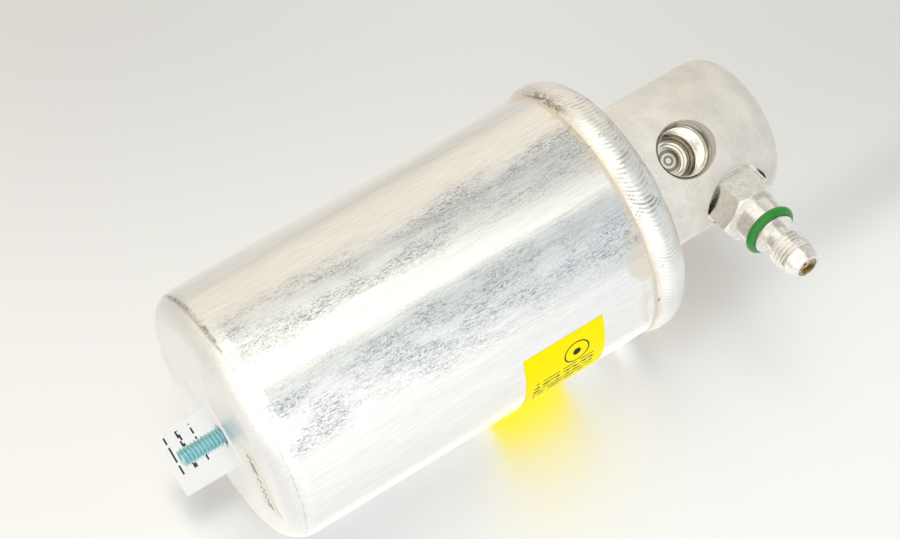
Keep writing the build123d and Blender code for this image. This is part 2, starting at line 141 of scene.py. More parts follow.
class DrierColours(bpy.types.PropertyGroup):
    """Colours of the finishes."""

    can: FloatVectorProperty(name="Can", description="Drawn aluminium", subtype="COLOR", size=4,
                             default=(0.90, 0.895, 0.875, 1))
    head: FloatVectorProperty(name="Head", description="Turned aluminium", subtype="COLOR", size=4,
                              default=(0.74, 0.712, 0.665, 1))
    weld: FloatVectorProperty(name="Weld", description="Aluminium weld", subtype="COLOR", size=4,
                              default=(0.93, 0.92, 0.885, 1))
    tint: FloatVectorProperty(name="Heat tint", description="Tan tint beside the weld", subtype="COLOR", size=4,
                              default=(0.66, 0.53, 0.36, 1))
    valve: FloatVectorProperty(name="Valve", description="Plated steel", subtype="COLOR", size=4,
                               default=(0.84, 0.82, 0.78, 1))
    zinc: FloatVectorProperty(name="Zinc", description="Clear-passivated zinc", subtype="COLOR", size=4,
                              default=(0.48, 0.74, 0.78, 1))
    brass: FloatVectorProperty(name="Brass", description="Turned brass", subtype="COLOR", size=4,
                               default=(0.72, 0.55, 0.28, 1))
    ring: FloatVectorProperty(name="Cap ring", description="Green rubber", subtype="COLOR", size=4,
                              default=(0.005, 0.245, 0.018, 1))
    label: FloatVectorProperty(name="Side label", description="Yellow face of the label", subtype="COLOR", size=4,
                               default=(1.0, 0.86, 0.0, 1))
    ink: FloatVectorProperty(name="Ink", description="Printing on labels and tag", subtype="COLOR", size=4,
                             default=(0.03, 0.03, 0.03, 1))


class DrierStage(bpy.types.PropertyGroup):
    """Camera, table and light."""

    lens: FloatProperty(name="Lens", description="Focal length in millimetres", default=85.81)
    table_tone: FloatProperty(name="Table tone", description="Brightness of the table's own face", default=0.96,
                              subtype="FACTOR")
    table_glow: FloatProperty(name="Table glow", description="Light that the table gives to the object's far side",
                              default=0.52)
    light: FloatProperty(name="Light", description="Strength of the even light round the object", default=1.06)


class Graph:
    """Shader nodes added one after another to a tree."""

    def __init__(self, tree):
        self.tree = tree
        tree.nodes.clear()

    def add(self, kind, inputs=None, **settings):
        node = self.tree.nodes.new(kind)
        for name, value in settings.items():
            setattr(node, name, value)
        for name, value in (inputs or {}).items():
            self.feed(node.inputs[name], value)
        return node

    def feed(self, socket, value):
        if isinstance(value, bpy.types.NodeSocket):
            self.tree.links.new(value, socket)
        else:
            socket.default_value = value

    def math(self, operation, *values):
        node = self.add("ShaderNodeMath", operation=operation)
        for socket, value in zip(node.inputs, values):
            self.feed(socket, value)
        return node.outputs[0]

    def fold(self, operation, first, *others):
        """One operation taken over all the values in turn."""
        for other in others:
            first = self.math(operation, first, other)
        return first

    def times(self, *values):
        return self.fold("MULTIPLY", *values)

    def plus(self, *values):
        return self.fold("ADD", *values)

    def most(self, *values):
        return self.fold("MAXIMUM", *values)

    def less(self, value, taken):
        return self.math("SUBTRACT", value, taken)

    def size(self, value):
        return self.math("ABSOLUTE", value)

    def vector(self, operation, *values, factor=None):
        node = self.add("ShaderNodeVectorMath", operation=operation)
        for socket, value in zip(node.inputs, values):
            self.feed(socket, value)
        if factor is not None:
            node.inputs["Scale"].default_value = factor
        return node.outputs["Value" if operation in ("LENGTH", "DOT_PRODUCT") else "Vector"]

    def split(self, vector):
        return self.add("ShaderNodeSeparateXYZ", {0: vector}).outputs

    def join(self, *values):
        return self.add("ShaderNodeCombineXYZ", dict(enumerate(values))).outputs[0]

    def noise(self, vector, scale, detail=3.0, roughness=0.55):
        """Cloudy noise from 0 to 1. The scale is one number, or one for each axis."""
        scales = scale if isinstance(scale, tuple) else (scale, scale, scale)
        spread = self.vector("MULTIPLY", vector, scales)
        return self.add("ShaderNodeTexNoise", {"Vector": spread, "Scale": 1.0, "Detail": detail,
                                               "Roughness": roughness}).outputs["Fac"]

    def ramp(self, value, low, high, start=0.0, end=1.0):
        """A soft step from start to end, as the value goes from low to high."""
        return self.add("ShaderNodeMapRange", {"Value": value, "From Min": low, "From Max": high, "To Min": start,
                                               "To Max": end}, interpolation_type="SMOOTHSTEP").outputs[0]

    def fade(self, value, low, high):
        """1 up to low, falling to 0 at high."""
        return self.ramp(value, low, high, 1.0, 0.0)

    def band(self, value, centre, half_width, edge):
        """1 within half_width of the centre, falling to 0 over the edge."""
        return self.fade(self.size(self.less(value, centre)), half_width, half_width + edge)

    def mix(self, factor, first, second):
        node = self.add("ShaderNodeMix", data_type="RGBA")
        for index, value in ((0, factor), (6, first), (7, second)):
            self.feed(node.inputs[index], value)
        return node.outputs[2]

    def mix_shaders(self, factor, first, second):
        return self.add("ShaderNodeMixShader", {0: factor, 1: first.outputs[0], 2: second.outputs[0]})

    def bump(self, height, distance, strength=1.0, under=None):
        """The normal over a height whose full range is a distance in millimetres."""
        node = self.add("ShaderNodeBump", {"Height": height, "Distance": distance * MM, "Strength": strength})
        if under is not None:
            self.feed(node.inputs["Normal"], under)
        return node.outputs[0]


class Finish(Graph):
    """The nodes of one finish. Lengths in it are in millimetres from the can's axis."""

    def __init__(self, name):
        self.material = bpy.data.materials.new(name)
        self.material.use_nodes = True
        super().__init__(self.material.node_tree)
        self.place = self.add("ShaderNodeTexCoord").outputs["Object"]
        centred = self.vector("SUBTRACT", self.place, (CAN_X, 0, 0))
        self.mm = self.vector("SCALE", centred, factor=1 / MM)
        self.x, self.y, self.z = self.split(self.mm)
        self.radius = self.reach(self.x, self.y)
        self.turn = self.math("ARCTAN2", self.y, self.x)

    def reach(self, first, second):
        """The length of the slope over two sides at right angles."""
        return self.math("SQRT", self.plus(self.math("POWER", first, 2), self.math("POWER", second, 2)))

    def sector(self, middle, half_width, edge):
        """1 within some degrees of a direction round the can's axis, falling to 0 over the edge."""
        return self.band(self.turn, radians(middle), radians(half_width), radians(edge))

    def valve_place(self):
        """How far out along the valve's axis a point is, and how far off that axis."""
        from_foot = self.vector("SUBTRACT", self.mm, (0, 0, VALVE_Z / MM))
        off_axis = self.vector("LENGTH", self.vector("CROSS_PRODUCT", from_foot, VALVE_OUT))
        return self.vector("DOT_PRODUCT", from_foot, VALVE_OUT), off_axis

    def finish(self, colour, roughness, metallic=1.0, normal=None, **constants):
        shader = self.add("ShaderNodeBsdfPrincipled", {"Base Color": colour, "Roughness": roughness,
                                                       "Metallic": metallic})
        for name, value in constants.items():
            shader.inputs[name.replace("_", " ")].default_value = value
        if normal is not None:
            self.feed(shader.inputs["Normal"], normal)
        self.add("ShaderNodeOutputMaterial", {0: shader.outputs[0]})
        return self.material


def colours():
    return bpy.context.scene.drier_colours


def sizes():
    return bpy.context.scene.drier_sizes


def shade(colour, factor):
    """The colour made darker or lighter by a factor."""
    return tuple(channel * factor for channel in colour[:3]) + (1,)


def grey(value):
    return value, value, value, 1


def dress(node, material):
    """Give a CAD node one finish."""
    mesh = frame["nodes"][node].data
    mesh.materials.clear()
    mesh.materials.append(material)


def can_finish():
    """Drawn aluminium: hairlines along the can, galled flecks, heat tint under the bead and grime at the foot."""
    g = Finish("drawn_aluminium")
    tone = tuple(colours().can)
    wall = g.ramp(g.z, 4.0, 12.0)
    hairline = g.noise(g.mm, (2.0, 2.0, 0.09), 4.0, 0.65)
    streak = g.noise(g.mm, (0.5, 0.5, 0.012), 3.0)
    fleck = g.noise(g.mm, (1.7, 1.7, 0.8), 5.0, 0.75)
    gate, patch, marks = galling(g, wall)
    tint = heat_tint(g)
    grime, heavy = foot_grime(g)
    colour = g.mix(g.ramp(hairline, 0.36, 0.66), shade(tone, 0.90), tone)
    colour = g.mix(g.times(gate, patch, 0.10), colour, GALLED_HAZE)
    colour = g.mix(g.times(marks, 0.90), colour, GALLED_MARK)
    colour = g.mix(g.times(tint, 0.55), colour, tuple(colours().tint))
    colour = g.mix(g.times(grime, g.plus(0.35, g.times(heavy, 0.45))), colour, GRIME)
    rough = g.plus(g.ramp(streak, 0.3, 0.7, 0.18, 0.27), g.times(marks, 0.15), g.ramp(g.z, 1.0, 9.0, 0.22, 0.0))
    rough = g.most(rough, g.times(g.most(grime, tint), 0.5))
    height = g.plus(g.times(hairline, 0.7), g.times(fleck, patch, 0.7))
    normal = g.bump(g.times(height, wall), 0.035, 0.8)
    return g.finish(colour, rough, normal=g.bump(streak, 0.08, 0.6, normal))


def galling(g, wall):
    """Where the can is worn: the clouds of it, its patches, and its own fine marks."""
    cloud = g.noise(g.mm, (0.07, 0.07, 0.03), 2.0)
    worn = g.most(*(g.sector(middle, half_width, 9) for middle, half_width in WORN_SIDES))
    patch = g.times(g.ramp(cloud, 0.30, 0.52, 0.3, 1.0), worn)
    scratch = g.times(g.ramp(g.noise(g.mm, (2.9, 2.9, 0.45), 3.0, 0.7), 0.50, 0.60), 0.85)
    pits = g.ramp(g.noise(g.mm, (2.3, 2.3, 1.4), 3.0, 0.75), 0.54, 0.62)
    gate = g.ramp(g.noise(g.mm, (0.16, 0.16, 0.05), 4.0, 0.6), 0.34, 0.60)
    return gate, patch, g.times(g.most(scratch, pits), gate, patch, wall)


def heat_tint(g):
    """Tan from welding: a thin line at the can's rim, clouds under it, and one scorched patch."""
    rim = CAN_RIM / MM
    cloud = g.noise(g.mm, (0.10, 0.10, 0.22), 3.0)
    clouds = g.times(g.ramp(g.z, rim - 15, rim - 7), g.ramp(cloud, 0.47, 0.62))
    line = g.ramp(g.z, rim - 8.4, rim - 7.2)
    from_patch = g.size(g.less(g.turn, radians(SCORCH_SIDE)))
    foot = g.plus(rim - 16.5, g.times(from_patch, 25.0))
    scorch = g.times(g.fade(from_patch, 0.10, 0.20), g.ramp(g.less(g.z, foot), 0.0, 2.5))
    return g.most(clouds, line, g.times(scorch, 0.8))


def foot_grime(g):
    """A broken line of grime on the rounded foot of the can, and where it is heavy."""
    broken = g.noise(g.mm, (0.35, 0.35, 0.6), 5.0, 0.75)
    height = g.plus(5.4, g.times(g.less(broken, 0.5), 2.4))
    heavy = g.sector(-142, 16, 22)
    width = g.plus(0.25, g.times(heavy, 0.85))
    line = g.fade(g.math("DIVIDE", g.size(g.less(g.z, height)), width), 0.2, 1.0)
    return g.times(line, g.ramp(broken, 0.36, 0.62, 0.25, 1.0)), heavy


def bore_mask(g, mouth, along, depth):
    """1 inside a port, past a depth from its mouth, and rings in it for the painted shade of the thread's grooves
    and the painted light of its flanks.
    """
    start = g.vector("SUBTRACT", g.mm, mouth)
    below = g.vector("DOT_PRODUCT", start, along)
    reach = g.vector("LENGTH", g.vector("CROSS_PRODUCT", start, along))
    rings = g.noise(g.join(g.times(reach, 1.1), g.times(below, 0.8), 0.0), 1.0, 3.0, 0.6)
    within = g.times(g.ramp(below, depth, depth + 0.3), g.math("LESS_THAN", below, PORT_FLOOR))
    return g.times(g.fade(reach, PORT_CUT_RADIUS, PORT_CUT_RADIUS + 0.2), within), rings


def head_finish():
    """Etched aluminium, dull and grey, with painted light lifting its foot, bright machined ports with painted
    shade and light in their rings, and a spotface.
    """
    g = Finish("etched_aluminium")
    tone = tuple(colours().head)
    turning = g.noise(g.join(g.times(g.radius, 1.6), g.times(g.z, 1.6), g.turn), 1.0, 3.0)
    grain = g.noise(g.mm, 1.6, 5.0, 0.7)
    cloud = g.noise(g.mm, (0.09, 0.09, 0.14), 3.0)
    speck = g.ramp(g.noise(g.mm, 0.8, 6.0, 0.8), 0.63, 0.69)
    scuff = g.times(g.ramp(g.noise(g.mm, (0.7, 0.7, 2.6), 5.0, 0.7), 0.60, 0.68),
                    g.ramp(g.noise(g.mm, 0.07, 2.0), 0.52, 0.62))
    colour = g.mix(g.ramp(grain, 0.3, 0.7), shade(tone, 0.88), shade(tone, 1.08))
    colour = g.mix(g.ramp(cloud, 0.35, 0.7), colour, shade(tone, 1.10))
    # Painted light: the head is made lighter towards its foot by the bead, to lift the shade there, and darker at
    # its top
    colour = g.vector("MULTIPLY", colour, g.mix(g.ramp(g.z, 152.0, 190.0), HEAD_FOOT_PAINTED_LIGHT, HEAD_TOP_PAINTED_LIGHT))
    colour = g.mix(g.times(g.most(speck, scuff), 0.50), colour, HEAD_SPECK)
    side_cut, side_bore_shading = bore_mask(g, (0, -HEAD_RADIUS, SIDE_PORT_Z / MM), (0, 1, 0), 2.4)
    end_cut, end_bore_shading = bore_mask(g, tuple(END_PORT / MM), (0, 0, -1), 0.3)
    station, off_axis = g.valve_place()
    spotface = g.times(g.fade(off_axis, SPOTFACE_RADIUS, SPOTFACE_RADIUS + 0.2), g.ramp(station, 21.0, 21.5))
    bore = g.most(side_cut, end_cut)
    cut = g.most(bore, spotface)
    colour = g.mix(spotface, colour, SPOTFACE_TONE)
    rings = g.ramp(g.mix(side_cut, end_bore_shading, side_bore_shading), 0.40, 0.58)
    # Painted shade and light in the bores: dark rings stand for shade in the thread's grooves, bright ones for
    # light on its flanks
    colour = g.mix(bore, colour, g.mix(rings, BORE_PAINTED_SHADE, BORE_PAINTED_LIGHT))
    rough = g.mix(cut, g.mix(g.ramp(turning, 0.3, 0.7), grey(0.50), grey(0.62)), grey(0.16))
    height = g.times(g.plus(turning, grain), g.less(1.0, cut))
    metallic = g.plus(0.55, g.times(cut, 0.45))
    return g.finish(colour, rough, metallic, g.bump(height, 0.14, 0.8), Specular_IOR_Level=0.3)


def weld_finish():
    """Weld metal: bright crowns, grooves darkened with painted shade, tan and soot at the toes."""
    g = Finish("weld_metal")
    tone = tuple(colours().weld)
    toe_z = BEAD_LOW.z / MM
    grain = g.noise(g.mm, 1.3, 5.0, 0.65)
    cloud = g.noise(g.mm, 0.10, 3.0)
    tint = g.times(g.fade(g.z, toe_z, toe_z + 2.2), g.ramp(cloud, 0.30, 0.55, 0.55, 1.0))
    groove_painted_shade = g.add("ShaderNodeAttribute", attribute_name="groove_painted_shade").outputs["Fac"]
    pits = g.times(g.ramp(g.noise(g.mm, 0.25, 3.0), 0.46, 0.62), g.sector(-100, 38, 14))
    soot = g.ramp(g.noise(g.mm, 0.22, 5.0, 0.75), 0.64, 0.70)
    start_soot = g.times(g.sector(WELD_START, 9, 12), g.fade(g.z, toe_z + 1.0, toe_z + 4.5),
                         g.ramp(g.noise(g.mm, (0.5, 0.5, 0.8), 5.0, 0.75), 0.40, 0.58))
    colour = g.mix(g.ramp(grain, 0.25, 0.75), shade(tone, 0.88), tone)
    # Painted shade: the grooves between ripples are darkened, more so in patches on the side round -100 degrees
    colour = g.mix(g.times(groove_painted_shade, g.plus(0.28, pits)), colour, shade(tone, 0.25))
    colour = g.mix(g.times(tint, 0.45), colour, tuple(colours().tint))
    colour = g.mix(g.times(soot, 0.7), colour, SOOT)
    colour = g.mix(g.times(start_soot, 0.75), colour, START_SOOT)
    rough = g.mix(g.most(tint, soot), g.mix(grain, grey(0.24), grey(0.38)), grey(0.6))
    return g.finish(colour, rough, normal=g.bump(grain, 0.12, 0.6))


def valve_finish():
    """Plated, bright-turned steel, with turning lines round the valve's own axis."""
    g = Finish("turned_steel")
    tone = tuple(colours().valve)
    station, off_axis = g.valve_place()
    lines = g.noise(g.join(g.times(station, 7.0), g.times(off_axis, 7.0), 0.0), 1.0, 2.0)
    smear = g.noise(g.mm, 0.7, 4.0, 0.7)
    dirt = g.ramp(g.noise(g.mm, 1.1, 5.0, 0.75), 0.62, 0.70)
    colour = g.mix(g.ramp(smear, 0.3, 0.7), shade(tone, 0.86), shade(tone, 1.06))
    colour = g.mix(g.times(dirt, 0.5), colour, VALVE_DIRT)
    return g.finish(colour, g.ramp(smear, 0.3, 0.7, 0.14, 0.30), normal=g.bump(lines, 0.02, 0.7))


def metal(name, tone, low, high, scale=1.5):
    """A plain metal with a little cloud, whose roughness runs between a low and a high value."""
    g = Finish(name)
    cloud = g.noise(g.mm, scale, 4.0, 0.65)
    colour = g.mix(g.ramp(cloud, 0.3, 0.7), shade(tone, 0.82), shade(tone, 1.06))
    return g.finish(colour, g.ramp(cloud, 0.3, 0.7, high, low), normal=g.bump(cloud, 0.03, 0.5))


def soft(name, tone, rough, scale=4.0, bump=0.03):
    """Rubber, plastic, felt or beads, with an even grain."""
    g = Finish(name)
    grain = g.noise(g.mm, scale, 4.0, 0.6)
    colour = g.mix(g.ramp(grain, 0.3, 0.7), shade(tone, 0.85), shade(tone, 1.1))
    return g.finish(colour, g.ramp(grain, 0.3, 0.7, rough - 0.06, rough + 0.06), 0.0, g.bump(grain, bump, 0.6))


def bars(g, along, across, start, end, rows, pitch, width, length):
    """Rows of short bars that stand for print: lengths and places are in millimetres."""
    row = g.math("FLOOR", g.math("DIVIDE", across, pitch))
    in_row = g.times(g.math("GREATER_THAN", row, -0.5), g.math("LESS_THAN", row, rows - 0.5))
    line = g.math("LESS_THAN", g.math("PINGPONG", g.math("DIVIDE", across, pitch), 0.5), width)
    place = g.join(g.math("FLOOR", g.math("DIVIDE", along, length)), row, 0.0)
    cell = g.add("ShaderNodeTexWhiteNoise", {"Vector": place}).outputs["Value"]
    inside = g.times(g.math("GREATER_THAN", along, start), g.math("LESS_THAN", along, end))
    return g.times(line, in_row, inside, g.math("GREATER_THAN", cell, 0.30))


def label_finish():
    """The side label: yellow, with a plain ring badge and rows of bars."""
    g = Finish("yellow_label")
    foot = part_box("side_label")[0].z / MM
    tone, ink = tuple(colours().label), tuple(colours().ink)
    arc = g.times(g.turn, CAN_RADIUS / MM)
    from_badge = g.reach(g.less(arc, radians(BADGE_SIDE) * CAN_RADIUS / MM), g.less(g.z, BADGE_Z))
    ring = g.band(from_badge, 4.6, 0.22, 0.08)
    dot = g.math("LESS_THAN", from_badge, 1.5)
    text = bars(g, g.less(g.z, foot), g.plus(arc, 19.5), 3.0, 26.0, 4, 2.6, 0.20, 1.3)
    grain = g.noise(g.mm, 2.0, 3.0)
    face = g.mix(g.ramp(grain, 0.3, 0.7), shade(tone, 0.97), tone)
    marks = g.most(ring, dot, text)
    return g.finish(g.mix(marks, face, ink), 0.45, 0.0, g.bump(grain, 0.01, 0.4), Specular_IOR_Level=0.04)


def small_label_finish():
    """The floor label: cream, with one row of bars along it."""
    g = Finish("cream_label")
    turn = radians(FLOOR_LABEL_TURN)
    from_middle = g.vector("SUBTRACT", g.mm, FLOOR_LABEL_MIDDLE)
    along = g.vector("DOT_PRODUCT", from_middle, (cos(turn), sin(turn), 0))
    across = g.vector("DOT_PRODUCT", from_middle, (-sin(turn), cos(turn), 0))
    text = bars(g, g.plus(along, 30.0), g.plus(across, 1.6), 19.5, 40.5, 1, 3.2, 0.34, 1.0)
    grain = g.noise(g.mm, 2.5, 3.0)
    face = g.mix(g.ramp(grain, 0.3, 0.7), (0.80, 0.77, 0.66, 1), (0.88, 0.85, 0.75, 1))
    return g.finish(g.mix(text, face, tuple(colours().ink)), 0.5, 0.0, g.bump(grain, 0.01, 0.4))


def tag_finish():
    """The tag: white paper with two rows of bars on the leaf that stands up."""
    g = Finish("tag_paper")
    grain = g.noise(g.mm, 1.2, 5.0, 0.7)
    standing = g.math("LESS_THAN", g.z, -0.6)
    text = bars(g, g.plus(g.x, 20.0), g.plus(g.z, 12.5), 14.0, 27.5, 2, 5.0, 0.13, 1.1)
    face = g.mix(g.ramp(grain, 0.3, 0.7), (0.92, 0.92, 0.91, 1), (0.96, 0.96, 0.95, 1))
    colour = g.mix(g.times(text, standing), face, tuple(colours().ink))
    return g.finish(colour, 0.6, 0.0, g.bump(grain, 0.05, 0.5))


def clean_copy(node, name):
    """A copy of a CAD node's mesh with its doubled vertices merged and plain normals."""
    piece = bpy.data.objects.new(name, frame["nodes"][node].data.copy())
    bpy.context.collection.objects.link(piece)
    deselect()
    piece.select_set(True)
    bpy.context.view_layer.objects.active = piece
    if piece.data.has_custom_normals:
        bpy.ops.mesh.customdata_custom_splitnormals_clear()
    bpy.ops.object.mode_set(mode="EDIT")
    bpy.ops.mesh.select_all(action="SELECT")
    bpy.ops.mesh.remove_doubles(threshold=0.001 * MM)
    bpy.ops.mesh.normals_make_consistent(inside=False)
    bpy.ops.object.mode_set(mode="OBJECT")
    return piece


def deselect():
    if bpy.context.object and bpy.context.object.mode != "OBJECT":
        bpy.ops.object.mode_set(mode="OBJECT")
    bpy.ops.object.select_all(action="DESELECT")


def keep(piece, material, body="drier", stands_for=()):
    """Give a finished piece its finish and its body, and hide the CAD nodes that it stands for."""
    piece.data.materials.clear()
    piece.data.materials.append(material)
    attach(piece, body)
    if stands_for:
        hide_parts(*stands_for)


def drop_edge(piece, ends):
    """Take out the one edge between two vertices of an outline, and stay in edit mode."""
    bpy.ops.object.mode_set(mode="EDIT")
    bpy.ops.mesh.select_mode(type="EDGE")
    bpy.ops.mesh.select_all(action="DESELECT")
    bpy.ops.object.mode_set(mode="OBJECT")
    for edge in piece.data.edges:
        edge.select = set(edge.vertices) == set(ends)
    bpy.ops.object.mode_set(mode="EDIT")
    bpy.ops.mesh.delete(type="EDGE")


def wind(piece, pitch, turns):
    """Sweep an outline up round the Z axis, so many turns of the thread."""
    screw = piece.modifiers.new("thread", "SCREW")
    screw.screw_offset = pitch
    screw.iterations = turns
    screw.steps = screw.render_steps = sizes().thread_steps
    bpy.ops.object.modifier_apply(modifier=screw.name)


def threaded_rod(name, crest, root, pitch, start, end, chamfer):
    """A rod along Z with a cut thread, trimmed square at both ends and chamfered."""
    deselect()
    bpy.ops.mesh.primitive_plane_add(size=pitch, location=(0, 0, 0))
    rod = bpy.context.object
    rod.name = rod.data.name = name
    bpy.ops.object.mode_set(mode="EDIT")
    bpy.ops.mesh.delete(type="ONLY_FACE")
    bpy.ops.object.mode_set(mode="OBJECT")
    profile = ((root, 0.0), (crest, 0.42), (crest, 0.54), (root, 0.96))
    order = (0, 1, 3, 2)
    for index, (radius, share) in zip(order, profile):
        rod.data.vertices[index].co = (radius, 0, start - pitch + share * pitch)
    drop_edge(rod, (order[0], order[3]))
    bpy.ops.object.mode_set(mode="OBJECT")
    wind(rod, pitch, int((end - start) / pitch) + 3)
    bpy.ops.object.mode_set(mode="EDIT")
    bpy.ops.mesh.select_all(action="SELECT")
    bpy.ops.mesh.remove_doubles(threshold=pitch * 0.06)
    for height, side in ((start, False), (end, True)):
        bpy.ops.mesh.select_all(action="SELECT")
        bpy.ops.mesh.bisect(plane_co=(0, 0, height), plane_no=(0, 0, 1), use_fill=True, clear_inner=not side,
                            clear_outer=side)
    bpy.ops.mesh.select_all(action="SELECT")
    bpy.ops.mesh.normals_make_consistent(inside=False)
    bpy.ops.object.mode_set(mode="OBJECT")
    bpy.ops.mesh.primitive_cylinder_add(vertices=96, radius=crest, depth=end - start,
                                        location=(0, 0, (start + end) / 2))
    blank = bpy.context.object
    bevel = blank.modifiers.new("chamfer", "BEVEL")
    bevel.width = chamfer
    bevel.angle_limit = radians(60)
    bpy.ops.object.modifier_apply(modifier=bevel.name)
    deselect()
    bpy.context.view_layer.objects.active = rod
    rod.select_set(True)
    trim = rod.modifiers.new("trim", "BOOLEAN")
    trim.operation = "INTERSECT"
    trim.object = blank
    bpy.ops.object.modifier_apply(modifier=trim.name)
    bpy.data.objects.remove(blank)
    bpy.ops.object.shade_smooth_by_angle(angle=radians(25))
    if len(rod.data.polygons) < sizes().thread_steps:
        raise RuntimeError(f"the thread of {name} came out empty")
    return rod


def put(piece, matrix):
    """Move a piece's mesh, with its object left at the origin."""
    piece.data.transform(matrix)
    piece.data.update()


def valve_matrix():
    """From a frame whose Z is the valve's axis to the object's own frame."""
    up = Vector((0, 0, 1))
    side = up.cross(VALVE_OUT)
    turned = Matrix((up, side, VALVE_OUT)).transposed().to_4x4()
    return Matrix.Translation(VALVE_FOOT) @ turned


class DRIER_OT_stage(bpy.types.Operator):
    """Set up the camera, the table and the light round the object"""

    bl_idname = "drier.stage"
    bl_label = "Stage"

    # The light that metal sees: a direction round the room in degrees, and the tone there
    strips = (
        (-180, 0.99, 0.915, 0.79), (-160, 0.96, 0.91, 0.82), (-150, 1.30, 1.28, 1.18), (-140, 1.50, 1.47, 1.36),
        (-100, 1.50, 1.47, 1.36), (-92, 1.30, 1.30, 1.22), (-80, 1.35, 1.36, 1.33), (-60, 1.50, 1.50, 1.48),
        (-30, 1.32, 1.32, 1.29), (-10, 1.16, 1.16, 1.13), (60, 0.88, 0.88, 0.86), (105, 1.05, 1.04, 1.00),
        (130, 0.74, 0.71, 0.65), (148, 0.83, 0.79, 0.70), (164, 0.97, 0.895, 0.77), (180, 0.99, 0.915, 0.79),
    )
    # The duller strips: first side, where it is full, far side at the middle height, its slope, its edge, tone
    dull_strips = (
        (-158.0, -150.0, -137.7, 265.0, 4.0, (0.45, 0.472, 0.485, 1)),
        (-96.0, -90.0, -69.7, 382.0, 8.0, (0.52, 0.555, 0.58, 1)),
    )
    middle_rise = 0.230
    table_size = 6
    table_side = -115

    def execute(self, context):
        stage = context.scene.drier_stage
        context.scene.view_settings.view_transform = "Standard"
        self.camera(context, stage)
        self.table(stage)
        self.world(context, stage)
        return {"FINISHED"}

    def camera(self, context, stage):
        deselect()
        bpy.ops.object.camera_add()
        camera = context.object
        axes = Matrix((CAMERA_RIGHT, -CAMERA_DOWN, -CAMERA_FORWARD)).transposed().to_4x4()
        camera.matrix_world = Matrix.Translation(CAMERA_PLACE) @ axes
        camera.data.lens = stage.lens
        camera.data.sensor_width = 36
        camera.data.sensor_fit = "HORIZONTAL"
        camera.data.clip_start = 0.05
        context.scene.camera = camera

    def table(self, stage):
        """A board that touches the weld bead, upright because the object lies against it."""
        side = radians(self.table_side)
        away = Vector((cos(side), sin(side), 0))
        foot = Vector((CAN_X, 0, 0)) - away * (BEAD_HIGH.y - BEAD_LOW.y) / 2
        deselect()
        bpy.ops.mesh.primitive_plane_add(size=self.table_size)
        table = bpy.context.object
        table.name = "table"
        up = Vector((0, 0, 1))
        turned = Matrix((up.cross(away), up, away)).transposed().to_4x4()
        put(table, Matrix.Translation(foot + up * HEAD_TOP / 2) @ turned)
        table.data.materials.append(self.table_finish(stage))

    def table_finish(self, stage):
        """White satin board, seen only from its front, with painted light that pales it down and across the
        camera's view.
        """
        g = Finish("table_board")
        fall = g.vector("DOT_PRODUCT", g.mm, CAMERA_DOWN)
        drift = g.vector("DOT_PRODUCT", g.mm, CAMERA_RIGHT)
        # Painted light: the board's tone grows paler down and across the camera's view
        tone = g.times(g.ramp(fall, -150.0, 0.0, 0.83, 0.975), g.ramp(drift, -90.0, 120.0, 0.86, 1.02),
                       stage.table_tone)
        paint = g.join(tone, tone, g.times(tone, 1.015))
        diffuse = g.add("ShaderNodeBsdfDiffuse", {"Color": paint})
        rough = g.plus(g.ramp(g.x, 25.0, 45.0, 0.42, 0.30), g.ramp(g.x, 48.0, 68.0, 0.0, 0.15))
        gloss = g.add("ShaderNodeBsdfGlossy", {"Color": paint, "Roughness": rough})
        board = g.mix_shaders(g.ramp(g.x, 44.0, 66.0, 0.95, 0.50), diffuse, gloss)
        glow = g.add("ShaderNodeEmission", {"Color": (1, 1, 0.97, 1), "Strength": self.table_light(g, stage)})
        front = g.add("ShaderNodeAddShader", {0: board.outputs[0], 1: glow.outputs[0]})
        clear = g.add("ShaderNodeBsdfTransparent")
        seen = g.mix_shaders(g.add("ShaderNodeNewGeometry").outputs["Backfacing"], front, clear)
        g.add("ShaderNodeOutputMaterial", {0: seen.outputs[0]})
        return g.material

    def table_light(self, g, stage):
        """How much light the board gives the object's far side, place by place, and none to the camera."""
        across = g.times(g.ramp(g.x, -50.0, 45.0, 0.30, 1.0), g.ramp(g.x, 50.0, 76.0, 1.0, 0.14))
        ends = g.times(g.ramp(g.z, -30.0, 25.0), g.ramp(g.z, 140.0, 190.0, 1.0, 0.4))
        unseen = g.less(1.0, g.add("ShaderNodeLightPath").outputs["Is Camera Ray"])
        return g.times(ends, across, g.ramp(g.z, 55.0, 90.0, 0.80, 1.0), unseen, stage.table_glow)

    def world(self, context, stage):
        """A pale room. Metal sees soft strips of light beside the can, with two duller ones between them."""
        world = bpy.data.worlds.new("studio")
        world.use_nodes = True
        context.scene.world = world
        g = Graph(world.node_tree)
        x, y, z = g.split(g.add("ShaderNodeTexCoord").outputs["Generated"])
        turn = g.math("DEGREES", g.math("ARCTAN2", y, x))
        rise = g.less(z, self.middle_rise)
        tone = self.strip_ramp(g, turn)
        dull = (1, 1, 1, 1)
        for first, full, far, slope, edge, dull_tone in self.dull_strips:
            past = g.less(turn, g.plus(far, g.times(rise, slope)))
            inside = g.times(g.ramp(turn, first, full), g.fade(past, -edge, edge))
            dull = g.mix(inside, dull, dull_tone)
        gloss = g.add("ShaderNodeBackground", {0: g.vector("MULTIPLY", tone, dull), 1: 1.0})
        plain = g.add("ShaderNodeBackground", {0: (1, 1, 0.985, 1), 1: stage.light})
        both = g.mix_shaders(g.add("ShaderNodeLightPath").outputs["Is Glossy Ray"], plain, gloss)
        g.add("ShaderNodeOutputWorld", {0: both.outputs[0]})

